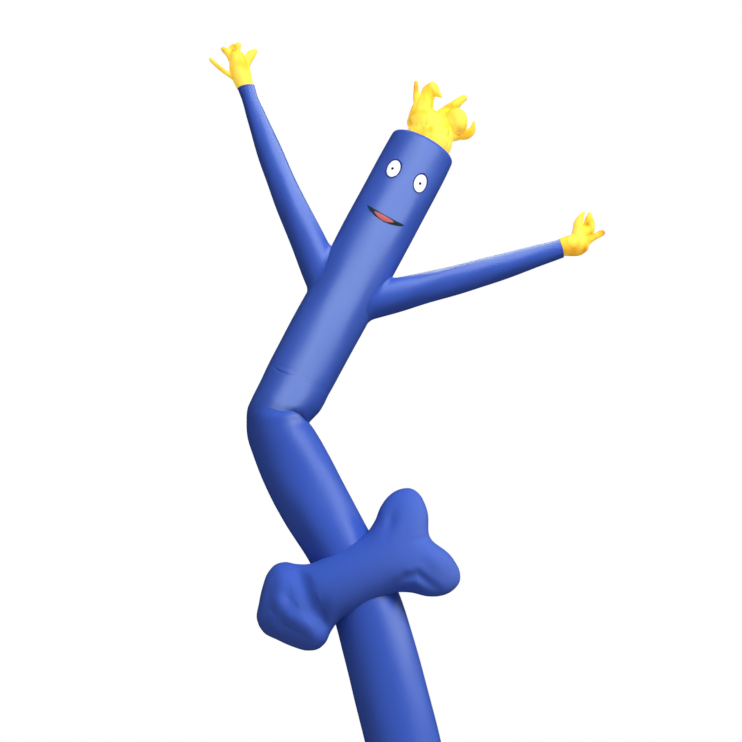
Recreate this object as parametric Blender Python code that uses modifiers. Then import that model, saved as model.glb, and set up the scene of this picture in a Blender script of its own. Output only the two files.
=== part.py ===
"""Inflatable air dancer: a nylon tube that leans, folds over and straightens again, with two raised
arms, yellow hands and hair, a sewn-on face, and a puffed arrow sewn across its lower half.

Metres, +Z up. The origin is the centre of the open hem that stands on the floor. The figure leans
and folds in the XZ plane, and its face looks along -Y. Left and right are as seen from the front.
"""

import math
from collections import namedtuple

import bmesh
import bpy
import numpy as np
from mathutils import Matrix, Vector

# Cloth, in metres
CLOTH = 0.002
PATCH_CLOTH = 0.0015
SEAM_GAP = 0.0003
SEAM_BAND = 0.02
TUBE_DIAMETER = 0.455

# How finely the forms are divided
TUBE_SIDES = 36
ARM_SIDES = 20
ARROW_SIDES = 24
CONE_SIDES = 24
BALL_SUBDIVISIONS = 3
PATCH_COLUMNS = 15
PATCH_ROWS = 5
DOT_COLUMNS = 9
DOT_ROWS = 3
WELD = 0.00005

# A section is a ring of cloth: its centre in the XZ plane, the lean of the tube's axis towards -X
# in degrees, and the ring's width in the XZ plane.
Section = namedtuple("Section", "x z lean width")

LOWER_TUBE = (
    Section(0.000, 0.000, 0.0, 0.455),
    Section(-0.003, 0.250, 2.0, 0.457),
    Section(-0.020, 0.500, 6.0, 0.459),
    Section(-0.056, 0.750, 10.0, 0.461),
    Section(-0.111, 1.000, 13.2, 0.461),
    Section(-0.199, 1.345, 14.4, 0.457),
    Section(-0.269, 1.604, 15.6, 0.450),
    Section(-0.325, 1.790, 19.0, 0.442),
    Section(-0.402, 1.990, 23.5, 0.436),
    Section(-0.509, 2.200, 27.5, 0.425),
    Section(-0.670, 2.480, 29.0, 0.452),
    Section(-0.750, 2.630, 27.3, 0.456),
    Section(-0.825, 2.775, 24.5, 0.443),
    Section(-0.871, 2.875, 19.5, 0.424),
    Section(-0.898, 2.940, 12.0, 0.412),
    Section(-0.907, 3.000, 1.0, 0.402),
    Section(-0.897, 3.052, -8.0, 0.418),
    Section(-0.874, 3.096, -14.0, 0.421),
    Section(-0.843, 3.153, -20.5, 0.420),
    Section(-0.782, 3.282, -27.5, 0.427),
)
UPPER_TUBE = (
    Section(-0.782, 3.282, -27.5, 0.427),
    Section(-0.699, 3.438, -28.0, 0.436),
    Section(-0.470, 3.868, -28.3, 0.446),
    Section(-0.228, 4.340, -28.3, 0.450),
    Section(-0.034, 4.710, -28.0, 0.452),
    Section(0.024, 4.825, -27.0, 0.446),
)
LEFT_ARM = (
    Section(-0.520, 3.740, 24.0, 0.250),
    Section(-0.640, 4.012, 24.0, 0.250),
    Section(-0.724, 4.204, 24.0, 0.227),
    Section(-0.875, 4.541, 22.5, 0.190),
    Section(-1.004, 4.868, 21.0, 0.160),
    Section(-1.075, 5.062, 19.0, 0.128),
    Section(-1.121, 5.190, 17.0, 0.106),
    Section(-1.145, 5.262, 11.0, 0.114),
)
RIGHT_ARM = (
    Section(-0.400, 3.770, -74.0, 0.236),
    Section(-0.192, 3.828, -74.0, 0.228),
    Section(-0.036, 3.868, -74.0, 0.212),
    Section(0.177, 3.923, -74.5, 0.197),
    Section(0.502, 4.016, -74.0, 0.172),
    Section(0.802, 4.110, -74.0, 0.138),
    Section(0.937, 4.152, -75.0, 0.124),
)
PORT_DIAMETER = 0.17

# The head panel's dome: radius as a share of the rim's, and height above the rim
Dome = namedtuple("Dome", "share height")
HEAD_DOME = (
    Dome(1.000, 0.000),
    Dome(1.000, 0.005),
    Dome(0.975, 0.020),
    Dome(0.900, 0.031),
    Dome(0.720, 0.041),
    Dome(0.460, 0.048),
    Dome(0.200, 0.051),
)

# The arrow lies across the front of the lower tube. A row is one section across its long axis:
# the distance along the axis, the half height and the half depth.
ARROW_CENTRE = Vector((-0.409, -0.150, 2.012))
ARROW_RISE = 27.2
ARROW_NOTCH = 0.070
ARROW_NOTCH_REACH = 0.110
ARROW_TAIL = (0.188, 0.598)
ArrowRow = namedtuple("ArrowRow", "along height depth")
ARROW_ROWS = (
    ArrowRow(-0.668, 0.000, 0.000),
    ArrowRow(-0.660, 0.048, 0.040),
    ArrowRow(-0.606, 0.126, 0.096),
    ArrowRow(-0.539, 0.208, 0.132),
    ArrowRow(-0.470, 0.270, 0.152),
    ArrowRow(-0.405, 0.292, 0.160),
    ArrowRow(-0.351, 0.280, 0.164),
    ArrowRow(-0.288, 0.234, 0.172),
    ArrowRow(-0.226, 0.202, 0.182),
    ArrowRow(-0.100, 0.192, 0.190),
    ArrowRow(0.060, 0.192, 0.190),
    ArrowRow(0.188, 0.208, 0.186),
    ArrowRow(0.263, 0.248, 0.180),
    ArrowRow(0.345, 0.316, 0.170),
    ArrowRow(0.408, 0.347, 0.158),
    ArrowRow(0.470, 0.358, 0.142),
    ArrowRow(0.520, 0.350, 0.120),
    ArrowRow(0.564, 0.326, 0.086),
    ArrowRow(0.588, 0.288, 0.045),
    ArrowRow(0.598, 0.250, 0.000),
)

# Hair and hands are puffs of cloth: chains of round stuffed joints, each a centre and a radius
Joint = namedtuple("Joint", "x y z radius")
HAIR = {
    "crown": (
        Joint(0.060, 0.000, 4.850, 0.155),
        Joint(0.075, 0.000, 4.945, 0.150),
        Joint(0.035, 0.005, 5.030, 0.108),
        Joint(0.020, 0.005, 5.120, 0.068),
    ),
    "left_spike": (
        Joint(0.012, -0.010, 5.150, 0.044),
        Joint(0.000, -0.020, 5.220, 0.022),
        Joint(-0.006, -0.025, 5.275, 0.013),
        Joint(-0.006, -0.026, 5.296, 0.009),
    ),
    "curled_finger": (
        Joint(0.050, 0.005, 5.150, 0.056),
        Joint(0.072, -0.005, 5.222, 0.043),
        Joint(0.104, -0.020, 5.246, 0.039),
        Joint(0.132, -0.035, 5.226, 0.028),
        Joint(0.152, -0.045, 5.200, 0.012),
    ),
    "right_finger": (
        Joint(0.130, 0.020, 5.010, 0.085),
        Joint(0.195, 0.030, 5.088, 0.058),
        Joint(0.252, 0.030, 5.152, 0.041),
        Joint(0.312, 0.025, 5.183, 0.023),
    ),
    "right_lump": (
        Joint(0.180, -0.030, 4.970, 0.085),
        Joint(0.265, -0.050, 5.035, 0.064),
    ),
    "low_spike": (
        Joint(0.225, 0.010, 4.935, 0.056),
        Joint(0.295, 0.010, 4.934, 0.040),
        Joint(0.345, 0.000, 4.948, 0.034),
        Joint(0.364, -0.005, 4.990, 0.018),
        Joint(0.373, -0.008, 5.022, 0.010),
    ),
}
LEFT_HAND = {
    "palm": (
        Joint(-1.149, 0.000, 5.250, 0.058),
        Joint(-1.165, 0.000, 5.310, 0.064),
        Joint(-1.180, 0.000, 5.370, 0.066),
        Joint(-1.193, 0.000, 5.430, 0.062),
    ),
    "long_finger": (
        Joint(-1.215, -0.010, 5.336, 0.030),
        Joint(-1.266, -0.020, 5.348, 0.017),
        Joint(-1.314, -0.026, 5.380, 0.014),
        Joint(-1.360, -0.028, 5.421, 0.012),
        Joint(-1.390, -0.030, 5.451, 0.009),
    ),
    "stubby_finger": (
        Joint(-1.225, 0.005, 5.440, 0.040),
        Joint(-1.256, 0.005, 5.490, 0.030),
        Joint(-1.288, 0.000, 5.516, 0.024),
        Joint(-1.306, 0.000, 5.532, 0.015),
    ),
    "short_finger": (
        Joint(-1.228, 0.015, 5.450, 0.036),
        Joint(-1.244, 0.022, 5.512, 0.024),
        Joint(-1.240, 0.024, 5.544, 0.018),
    ),
    "middle_finger": (
        Joint(-1.205, -0.010, 5.450, 0.044),
        Joint(-1.212, -0.016, 5.515, 0.029),
        Joint(-1.212, -0.020, 5.550, 0.022),
    ),
    "right_finger": (
        Joint(-1.160, 0.010, 5.420, 0.042),
        Joint(-1.134, 0.020, 5.462, 0.028),
        Joint(-1.104, 0.025, 5.500, 0.020),
        Joint(-1.088, 0.025, 5.514, 0.012),
    ),
}
RIGHT_HAND = {
    "palm": (
        Joint(0.925, 0.000, 4.150, 0.062),
        Joint(0.965, 0.000, 4.168, 0.068),
        Joint(1.010, 0.000, 4.178, 0.074),
        Joint(1.050, 0.000, 4.190, 0.074),
    ),
    "heel": (
        Joint(1.000, 0.000, 4.150, 0.050),
        Joint(1.052, 0.005, 4.142, 0.041),
    ),
    "upper_finger": (
        Joint(1.038, -0.005, 4.220, 0.048),
        Joint(1.044, -0.015, 4.280, 0.029),
        Joint(1.060, -0.020, 4.338, 0.021),
        Joint(1.078, -0.022, 4.376, 0.014),
        Joint(1.088, -0.022, 4.391, 0.009),
    ),
    "fat_finger": (
        Joint(1.085, 0.015, 4.230, 0.050),
        Joint(1.122, 0.025, 4.285, 0.045),
        Joint(1.133, 0.030, 4.336, 0.033),
        Joint(1.136, 0.030, 4.384, 0.014),
    ),
    "lower_finger": (
        Joint(1.085, 0.000, 4.186, 0.056),
        Joint(1.140, -0.010, 4.218, 0.034),
        Joint(1.184, -0.015, 4.240, 0.026),
        Joint(1.209, -0.018, 4.252, 0.020),
    ),
}
PUFF_VOXEL = 0.006
PUFF_SMOOTHING = 6
HAIR_FACES = 950
HAND_FACES = 680

# The face, on the upper tube: distances below the rim, and angles from the front in degrees
FACE_TURN = 7.7
FACE_LIFT = 0.0007
EYE_DROP = 0.262
EYE_SPREAD = 26.0
EYE_HALF_HEIGHT = 0.062
EYE_HALF_WIDTH = 0.049
PUPIL_RADIUS = 0.009
PUPIL_DROP = 0.004
PUPIL_SHIFT = -0.004
MOUTH_DROP = 0.560
MOUTH_HALF_LENGTH = 0.145
MOUTH_HALF_WIDTH = 0.019
MOUTH_SAG = 0.021
TONGUE_DROP = 0.579
TONGUE_HALF_LENGTH = 0.070
TONGUE_HALF_WIDTH = 0.014
TONGUE_SAG = 0.013
TONGUE_SHIFT = -0.012

BLUE = (0.045, 0.105, 0.560)
YELLOW = (1.000, 0.780, 0.050)
WHITE = (0.880, 0.880, 0.900)
DOT_BLACK = (0.010, 0.010, 0.015)
LIP_GREEN = (0.020, 0.060, 0.070)
CORAL = (0.720, 0.180, 0.200)
NYLON_ROUGHNESS = 0.5
PATCH_ROUGHNESS = 0.6


def clear_scene():
    for item in list(bpy.data.objects):
        bpy.data.objects.remove(item)


def collection(name):
    made = bpy.data.collections.new(name)
    bpy.context.scene.collection.children.link(made)
    return made


def cloth_finish(name, colour, roughness):
    """A cloth material with its own Principled shader."""
    material = bpy.data.materials.new(name)
    material.use_nodes = True
    shader = material.node_tree.nodes["Principled BSDF"]
    shader.inputs["Base Color"].default_value = (*colour, 1.0)
    shader.inputs["Roughness"].default_value = roughness
    shader.inputs["Metallic"].default_value = 0.0
    material.diffuse_color = (*colour, 1.0)
    return material


def section_axes(lean):
    """The ring's own right, back and forward directions for a lean in degrees."""
    angle = math.radians(lean)
    right = np.array((math.cos(angle), 0.0, math.sin(angle)))
    back = np.array((0.0, 1.0, 0.0))
    forward = np.array((-math.sin(angle), 0.0, math.cos(angle)))
    return right, back, forward


def half_depth(width, girth_diameter):
    """Half the front-to-back size of a ring whose cloth keeps its girth while its width changes."""
    return math.sqrt(2 * (girth_diameter / 2) ** 2 - (width / 2) ** 2)


def section_ring(section, sides, grow=0.0, girth_diameter=None):
    """The points of one section: a circle, or an ellipse that keeps its girth."""
    right, back, _ = section_axes(section.lean)
    half_width = section.width / 2 + grow
    if girth_diameter is None:
        depth = half_width
    else:
        depth = half_depth(section.width, girth_diameter) + grow
    turn = np.linspace(0, 2 * math.pi, sides, endpoint=False)[:, None]
    centre = np.array((section.x, 0.0, section.z))
    return centre + right * half_width * np.cos(turn) + back * depth * np.sin(turn)


def tube_rings(sections, sides, grow=0.0, girth_diameter=None, start_gap=0.0):
    """The rings of a tube, with a short straight band of seam at each end."""
    rings = [section_ring(item, sides, grow, girth_diameter) for item in sections]
    start = section_axes(sections[0].lean)[2]
    end = section_axes(sections[-1].lean)[2]
    rings[0] = rings[0] + start * start_gap
    rings.insert(1, rings[0] + start * SEAM_BAND)
    rings.insert(-1, rings[-1] - end * SEAM_BAND)
    return rings


def welded_mesh(name, points, faces):
    """A mesh whose coinciding points, such as those of a ring shrunk to a tip, are one point."""
    mesh = bpy.data.meshes.new(name)
    mesh.from_pydata([tuple(point) for point in points], [], faces)
    weld = bmesh.new()
    weld.from_mesh(mesh)
    bmesh.ops.remove_doubles(weld, verts=weld.verts, dist=WELD)
    weld.to_mesh(mesh)
    weld.free()
    return mesh


def lofted_mesh(name, rings, capped=False):
    """Skin a list of like rings, open at both ends unless they are capped."""
    sides = len(rings[0])
    points = np.concatenate(rings)
    faces = []
    for row in range(len(rings) - 1):
        for side in range(sides):
            near, far = row * sides + side, row * sides + (side + 1) % sides
            faces.append((near, far, far + sides, near + sides))
    if capped:
        faces.append(tuple(range(sides))[::-1])
        faces.append(tuple(range(len(points) - sides, len(points))))
    return welded_mesh(name, points, faces)


def finished(name, form):
    """Turn a bmesh into a mesh."""
    mesh = bpy.data.meshes.new(name)
    form.to_mesh(mesh)
    form.free()
    return mesh


def facing(direction, middle):
    """The placement that puts local Z along a direction and the origin at a middle."""
    turn = Vector(direction).to_track_quat("Z", "Y").to_matrix().to_4x4()
    return Matrix.Translation(middle) @ turn


def place(name, mesh, colour=None, roughness=NYLON_ROUGHNESS):
    """Put a mesh in the scene as a named sub-part, or as a hidden cutter if it has no colour."""
    item = bpy.data.objects.new(name, mesh)
    if colour is None:
        cutters.objects.link(item)
        item.hide_render = True
        item.display_type = "WIRE"
    else:
        dancer.objects.link(item)
        mesh.materials.append(cloth_finish(name, colour, roughness))
        mesh.shade_smooth()
        item.parent = figure
    return item


def thicken(item, thickness, outwards=False):
    """Give an open or closed surface its cloth, inwards unless it is a patch."""
    solid = item.modifiers.new("cloth", "SOLIDIFY")
    solid.thickness = thickness
    solid.offset = 1.0 if outwards else -1.0
    solid.use_even_offset = True


def cut(item, cutter):
    boolean = item.modifiers.new("cut " + cutter.name, "BOOLEAN")
    boolean.operation = "DIFFERENCE"
    boolean.solver = "EXACT"
    boolean.object = cutter


def body_envelope():
    """The space that the tube and head fill, grown by the seam gap: what is sewn on stops here."""
    rings = [section_ring(item, TUBE_SIDES, SEAM_GAP, TUBE_DIAMETER)
             for item in LOWER_TUBE + UPPER_TUBE[1:]]
    rings += dome_rings(SEAM_GAP)
    return place("body_envelope", lofted_mesh("body_envelope", rings, capped=True))


def dome_rings(grow=0.0):
    """Rings of the head panel, each a smaller copy of the rim raised along the tube's axis."""
    rim = UPPER_TUBE[-1]
    forward = section_axes(rim.lean)[2]
    centre = np.array((rim.x, 0.0, rim.z))
    ring = section_ring(rim, TUBE_SIDES, grow, TUBE_DIAMETER)
    lift = SEAM_GAP + grow
    return [centre + (ring - centre) * row.share + forward * (row.height + lift) for row in HEAD_DOME]


def make_body():
    lower = lofted_mesh("body_lower", tube_rings(LOWER_TUBE, TUBE_SIDES, 0.0, TUBE_DIAMETER))
    upper = lofted_mesh("body_upper", tube_rings(UPPER_TUBE, TUBE_SIDES, 0.0, TUBE_DIAMETER, SEAM_GAP))
    lower = place("body_lower", lower, BLUE)
    upper = place("body_upper", upper, BLUE)
    for item in (lower, upper):
        thicken(item, CLOTH)
    return lower, upper


def make_head_panel():
    """The dome closes at a point in the middle of its last ring."""
    rings = dome_rings()
    tip = rings[-1].mean(axis=0)
    rings.append(np.tile(tip, (TUBE_SIDES, 1)))
    panel = place("head_cap", lofted_mesh("head_cap", rings), BLUE)
    thicken(panel, CLOTH)
    return panel


def make_arm(name, sections, upper_tube, envelope):
    """A tapered tube whose root is cut to the body's side, over a round port in the body."""
    arm = place(name, lofted_mesh(name, tube_rings(sections, ARM_SIDES)), BLUE)
    thicken(arm, CLOTH)
    cut(arm, envelope)

    root, shoulder = sections[0], sections[1]
    start = Vector((root.x, 0.0, root.z))
    reach = Vector((shoulder.x, 0.0, shoulder.z)) - start
    bore = bmesh.new()
    bmesh.ops.create_cone(bore, cap_ends=True, segments=ARM_SIDES, radius1=PORT_DIAMETER / 2,
                          radius2=PORT_DIAMETER / 2, depth=2 * reach.length,
                          matrix=facing(reach, start + reach))
    cut(upper_tube, place(name + "_port", finished(name + "_port", bore)))


def puff_mesh(name, chains, faces):
    """Join chains of round joints into one soft lump: balls and cones, fused, smoothed, thinned."""
    lump = bmesh.new()
    for chain in chains.values():
        for joint in chain:
            spot = Matrix.Translation(Vector((joint.x, joint.y, joint.z)))
            bmesh.ops.create_icosphere(lump, subdivisions=BALL_SUBDIVISIONS, radius=joint.radius,
                                       matrix=spot)
        for near, far in zip(chain, chain[1:]):
            start = Vector((near.x, near.y, near.z))
            reach = Vector((far.x, far.y, far.z)) - start
            bmesh.ops.create_cone(lump, cap_ends=True, segments=CONE_SIDES, radius1=near.radius,
                                  radius2=far.radius, depth=reach.length,
                                  matrix=facing(reach, start + reach / 2))
    rough = bpy.data.objects.new(name + "_rough", finished(name, lump))
    cutters.objects.link(rough)
    remesh = rough.modifiers.new("fuse", "REMESH")
    remesh.mode = "VOXEL"
    remesh.voxel_size = PUFF_VOXEL
    smooth = rough.modifiers.new("soften", "SMOOTH")
    smooth.factor = 0.5
    smooth.iterations = PUFF_SMOOTHING
    view = bpy.context.evaluated_depsgraph_get()
    fused = len(rough.evaluated_get(view).data.polygons)
    thin = rough.modifiers.new("thin out", "DECIMATE")
    thin.ratio = faces / (2 * fused)
    view = bpy.context.evaluated_depsgraph_get()
    soft = bpy.data.meshes.new_from_object(rough.evaluated_get(view))
    soft.name = name
    bpy.data.objects.remove(rough)
    return soft


def make_hair(envelope):
    hair = place("hair", puff_mesh("hair", HAIR, HAIR_FACES), YELLOW)
    thicken(hair, CLOTH)
    cut(hair, envelope)


def make_hand(name, chains, wrist):
    """A stuffed hand, open at the wrist, where it meets the end of its arm."""
    hand = place(name, puff_mesh(name, chains, HAND_FACES), YELLOW)
    thicken(hand, CLOTH)
    forward = Vector(section_axes(wrist.lean)[2])
    side = 2 * wrist.width
    middle = Vector((wrist.x, 0.0, wrist.z)) - forward * (side / 2 - SEAM_GAP)
    block = bmesh.new()
    bmesh.ops.create_cube(block, size=side, matrix=facing(forward, middle))
    cut(hand, place(name + "_wrist", finished(name + "_wrist", block)))


def make_arrow(envelope):
    """Rings along the arrow's axis. The notch pulls the middle of the tail in between its fins."""
    rise = math.radians(ARROW_RISE)
    along = np.array((math.cos(rise), 0.0, math.sin(rise)))
    up = np.array((-math.sin(rise), 0.0, math.cos(rise)))
    front = np.array((0.0, -1.0, 0.0))
    turn = np.linspace(0, 2 * math.pi, ARROW_SIDES, endpoint=False)[:, None]
    tail_start, tail_end = ARROW_TAIL
    rings = []
    for row in ARROW_ROWS:
        height = row.height * np.cos(turn)
        depth = row.depth * np.sin(turn)
        near_tail = np.clip((row.along - tail_start) / (tail_end - tail_start), 0.0, 1.0)
        pull = ARROW_NOTCH * near_tail * np.exp(-(height / ARROW_NOTCH_REACH) ** 2)
        rings.append(np.array(ARROW_CENTRE) + along * (row.along - pull) + up * height + front * depth)
    arrow = place("arrow", lofted_mesh("arrow", rings), BLUE)
    thicken(arrow, CLOTH)
    cut(arrow, envelope)


def tube_surface(drop, arc, lift):
    """A point on the upper tube's front: drop below the rim, arc around it from the front, lift off it."""
    rim = UPPER_TUBE[-1]
    heights = [item.z for item in UPPER_TUBE]
    down = section_axes(rim.lean)[2]
    z = rim.z - drop * down[2]
    x = np.interp(z, heights, [item.x for item in UPPER_TUBE])
    width = np.interp(z, heights, [item.width for item in UPPER_TUBE])
    lean = np.interp(z, heights, [item.lean for item in UPPER_TUBE])
    right, back, _ = section_axes(lean)
    angle = arc / (TUBE_DIAMETER / 2)
    depth = half_depth(width, TUBE_DIAMETER)
    centre = np.array((x, 0.0, z))
    return centre + right * (width / 2 + lift) * math.sin(angle) - back * (depth + lift) * math.cos(angle)


def make_patch(name, drop, arc, half_length, half_width, colour, lift, sag=0.0, upright=False,
               columns=PATCH_COLUMNS, rows=PATCH_ROWS):
    """A lens of cloth on the tube: its width falls off as the root of 1 - s squared towards its tips.

    It runs around the tube, with its middle sagging, or along the tube if it is upright."""
    points = []
    for turn in np.linspace(0, math.pi, columns):
        share = -math.cos(turn)
        reach = half_length * share
        for across in np.linspace(-1, 1, rows):
            offset = half_width * math.sin(turn) * across + sag * (1 - share ** 2)
            if upright:
                points.append(tube_surface(drop - reach, arc + offset, lift))
            else:
                points.append(tube_surface(drop + offset, arc + reach, lift))
    faces = []
    for column in range(columns - 1):
        for row in range(rows - 1):
            first = column * rows + row
            faces.append((first + 1, first + rows + 1, first + rows, first))
    patch = place(name, welded_mesh(name, points, faces), colour, PATCH_ROUGHNESS)
    thicken(patch, PATCH_CLOTH, outwards=True)


def make_face():
    radius = TUBE_DIAMETER / 2
    top_lift = FACE_LIFT + PATCH_CLOTH + 2 * SEAM_GAP
    for side, way in (("left", -1), ("right", 1)):
        arc = radius * math.radians(FACE_TURN + way * EYE_SPREAD)
        make_patch("eye_" + side, EYE_DROP, arc, EYE_HALF_HEIGHT, EYE_HALF_WIDTH, WHITE,
                   FACE_LIFT, upright=True)
        make_patch("pupil_" + side, EYE_DROP + PUPIL_DROP, arc + PUPIL_SHIFT, PUPIL_RADIUS,
                   PUPIL_RADIUS, DOT_BLACK, top_lift, upright=True, columns=DOT_COLUMNS, rows=DOT_ROWS)
    middle = radius * math.radians(FACE_TURN)
    make_patch("mouth", MOUTH_DROP, middle, MOUTH_HALF_LENGTH, MOUTH_HALF_WIDTH, LIP_GREEN,
               FACE_LIFT, sag=MOUTH_SAG)
    make_patch("tongue", TONGUE_DROP, middle + TONGUE_SHIFT, TONGUE_HALF_LENGTH, TONGUE_HALF_WIDTH, CORAL,
               top_lift, sag=TONGUE_SAG)


clear_scene()
dancer = collection("inflatable_air_dancer")
cutters = collection("cutters")
figure = bpy.data.objects.new("air_dancer", None)
dancer.objects.link(figure)

envelope = body_envelope()
lower_tube, upper_tube = make_body()
make_head_panel()
make_arm("arm_left", LEFT_ARM, upper_tube, envelope)
make_arm("arm_right", RIGHT_ARM, upper_tube, envelope)
make_hair(envelope)
make_hand("hand_left", LEFT_HAND, LEFT_ARM[-1])
make_hand("hand_right", RIGHT_HAND, RIGHT_ARM[-1])
make_arrow(envelope)
make_face()
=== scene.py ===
"""The looks of an inflatable air dancer: blue nylon tubes filled by a blower, yellow nylon hands and
hair, a sewn-on face, and a puffed arrow across the lower half.

Metres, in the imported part's own frame: +Z up, the face looks along -Y. Left and right are as seen
from the front. On every piece of cloth u runs round the tube from its front and v along it.
"""

import math

import bmesh
import bpy
import numpy as np
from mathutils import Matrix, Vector


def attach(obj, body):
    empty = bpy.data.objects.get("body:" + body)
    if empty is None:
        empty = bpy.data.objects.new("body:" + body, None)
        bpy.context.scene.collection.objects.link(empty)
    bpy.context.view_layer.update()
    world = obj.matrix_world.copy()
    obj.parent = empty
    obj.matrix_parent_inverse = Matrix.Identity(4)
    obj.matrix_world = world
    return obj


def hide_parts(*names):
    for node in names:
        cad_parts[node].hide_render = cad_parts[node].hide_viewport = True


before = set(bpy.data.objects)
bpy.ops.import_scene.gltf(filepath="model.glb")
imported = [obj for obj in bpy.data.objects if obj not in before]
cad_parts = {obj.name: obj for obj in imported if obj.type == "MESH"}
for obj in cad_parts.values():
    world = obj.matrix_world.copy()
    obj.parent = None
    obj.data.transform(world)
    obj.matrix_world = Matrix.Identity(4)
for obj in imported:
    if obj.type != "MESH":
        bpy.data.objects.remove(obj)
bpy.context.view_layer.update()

# Camera. It stands about ten metres in front of the figure, at the height of a person's eyes, and
# looks up at it, so that the foot of the tube falls below the picture.
CAMERA_PLACE = (-0.31, -9.85, 1.60)
CAMERA_PITCH = math.radians(10)
CAMERA_LENS = 75

camera = bpy.data.objects.new("camera", bpy.data.cameras.new("camera"))
camera.data.lens = CAMERA_LENS
camera.location = CAMERA_PLACE
camera.rotation_euler = (math.radians(90) + CAMERA_PITCH, 0, 0)
bpy.context.scene.collection.objects.link(camera)
bpy.context.scene.camera = camera


# Floor and sky. A round pale floor that whitens towards its rim, and a white dome round everything
# that only the camera sees, so that the figure stands against plain white from any side.
FLOOR_RADIUS = 9.0
FLOOR_WHITE_FROM = 3.0
FLOOR_GREY = 0.80
SKY_RADIUS = 40.0


class Thread:
    """One end of a shader link. Python's operators on it add Math nodes, and node() adds any other."""

    def __init__(self, tree, socket=None):
        self.tree = tree
        self.socket = socket

    def node(self, kind, settings=None, inputs=None, output=0):
        """A new node of a kind: its settings first, then the values or links of its sockets."""
        made = self.tree.nodes.new("ShaderNode" + kind)
        for name, value in (settings or {}).items():
            if name == "stops":
                for spot, colour in value[2:]:
                    made.color_ramp.elements.new(spot)
                for element, (spot, colour) in zip(made.color_ramp.elements, sorted(value)):
                    element.position = spot
                    element.color = colour
            else:
                setattr(made, name, value)
        for name, value in (inputs or {}).items():
            if isinstance(value, Thread):
                self.tree.links.new(value.socket, made.inputs[name])
            else:
                made.inputs[name].default_value = value
        return Thread(self.tree, made.outputs[output])

    def math(self, operation, *values):
        return self.node("Math", {"operation": operation}, dict(enumerate(values)))

    def __add__(self, other):
        return self.math("ADD", self, other)

    def __sub__(self, other):
        return self.math("SUBTRACT", self, other)

    def __mul__(self, other):
        return self.math("MULTIPLY", self, other)

    def __truediv__(self, other):
        return self.math("DIVIDE", self, other)

    def clamp(self):
        return self.math("MINIMUM", self.math("MAXIMUM", self, 0.0), 1.0)

    def mixed(self, first, second):
        """The first colour where this is 0, the second where it is 1."""
        colours = {6: first, 7: second, 0: self}
        return self.node("Mix", {"data_type": "RGBA"}, colours, output=2)


def opaque(colour):
    return (*colour, 1.0)


def new_material(name):
    """A material, its Principled shader, and a thread to draw its other nodes from."""
    material = bpy.data.materials.new(name)
    material.use_nodes = True
    return material, material.node_tree.nodes["Principled BSDF"], Thread(material.node_tree)


def tie(shader, name, thread):
    shader.id_data.links.new(thread.socket, shader.inputs[name])


def grid_mesh(name, points, u=None, v=None, closed=True, marks=None):
    """A mesh of quads on a grid of points, rows along the piece and columns round it.

    The columns join up if it is closed. u and v are the cloth's flat measures at the columns and
    rows, one more column than points where it is closed. marks are named values at the points."""
    rows, columns = points.shape[:2]
    spans = columns if closed else columns - 1
    row, column = np.meshgrid(np.arange(rows - 1), np.arange(spans), indexing="ij")
    after = (column + 1) % columns
    corners = np.stack((row * columns + column, row * columns + after,
                        (row + 1) * columns + after, (row + 1) * columns + column), -1)
    mesh = bpy.data.meshes.new(name)
    mesh.from_pydata(points.reshape(-1, 3), [], corners.reshape(-1, 4))
    if u is not None:
        u = np.broadcast_to(u, (rows, spans + 1))
        v = np.broadcast_to(v, (rows, spans + 1))
        flat = np.stack((u, v), -1)
        loops = np.stack((flat[:-1, :-1], flat[:-1, 1:], flat[1:, 1:], flat[1:, :-1]), 2)
        mesh.uv_layers.new(name="cloth").data.foreach_set("uv", loops.astype(np.float32).ravel())
    for mark, values in (marks or {}).items():
        layer = mesh.attributes.new(mark, "FLOAT", "POINT")
        layer.data.foreach_set("value", np.broadcast_to(values, points.shape[:2]).astype(np.float32).ravel())
    mesh.shade_smooth()
    return mesh


def welded(mesh, distance=0.00002):
    """Merge the points that coincide, such as those of a ring shrunk to a tip."""
    form = bmesh.new()
    form.from_mesh(mesh)
    bmesh.ops.remove_doubles(form, verts=form.verts, dist=distance)
    form.to_mesh(mesh)
    form.free()
    return mesh


def added(name, mesh, material):
    """A piece at the origin, its place in its mesh."""
    piece = bpy.data.objects.new(name, mesh)
    mesh.materials.append(material)
    bpy.context.scene.collection.objects.link(piece)
    return piece


def floor_material():
    """Pale grey near the figure, glowing as white as the sky at the rim."""
    material, shader, thread = new_material("pale_floor")
    place = thread.node("TexCoord", output="Object")
    gone = place.node("VectorMath", {"operation": "LENGTH"}, {0: place}, output="Value")
    whiter = ((gone - FLOOR_WHITE_FROM) / (FLOOR_RADIUS - FLOOR_WHITE_FROM) * 1.1).clamp()
    tie(shader, "Base Color", whiter.mixed(opaque((FLOOR_GREY,) * 3), opaque((0, 0, 0))))
    tie(shader, "Emission Color", whiter.mixed(opaque((0, 0, 0)), opaque((1, 1, 1))))
    shader.inputs["Emission Strength"].default_value = 1.0
    shader.inputs["Roughness"].default_value = 0.9
    return material


def disc(radius, rings=24, spokes=96):
    """Rings round the origin, their radii in even steps."""
    turn = np.linspace(0, 2 * math.pi, spokes, endpoint=False)
    out = np.linspace(0, radius, rings)[:, None]
    return np.stack((out * np.cos(turn), out * np.sin(turn), np.zeros((rings, spokes))), -1)


def dome(radius, rings=32, spokes=64):
    """A ball seen from inside: rings of latitude, their points wound to face the middle."""
    rise = np.linspace(-math.pi / 2, math.pi / 2, rings)[:, None]
    turn = np.linspace(2 * math.pi, 0, spokes, endpoint=False)
    return radius * np.stack((np.cos(rise) * np.cos(turn), np.cos(rise) * np.sin(turn),
                              np.sin(rise) * np.ones(spokes)), -1)


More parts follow.
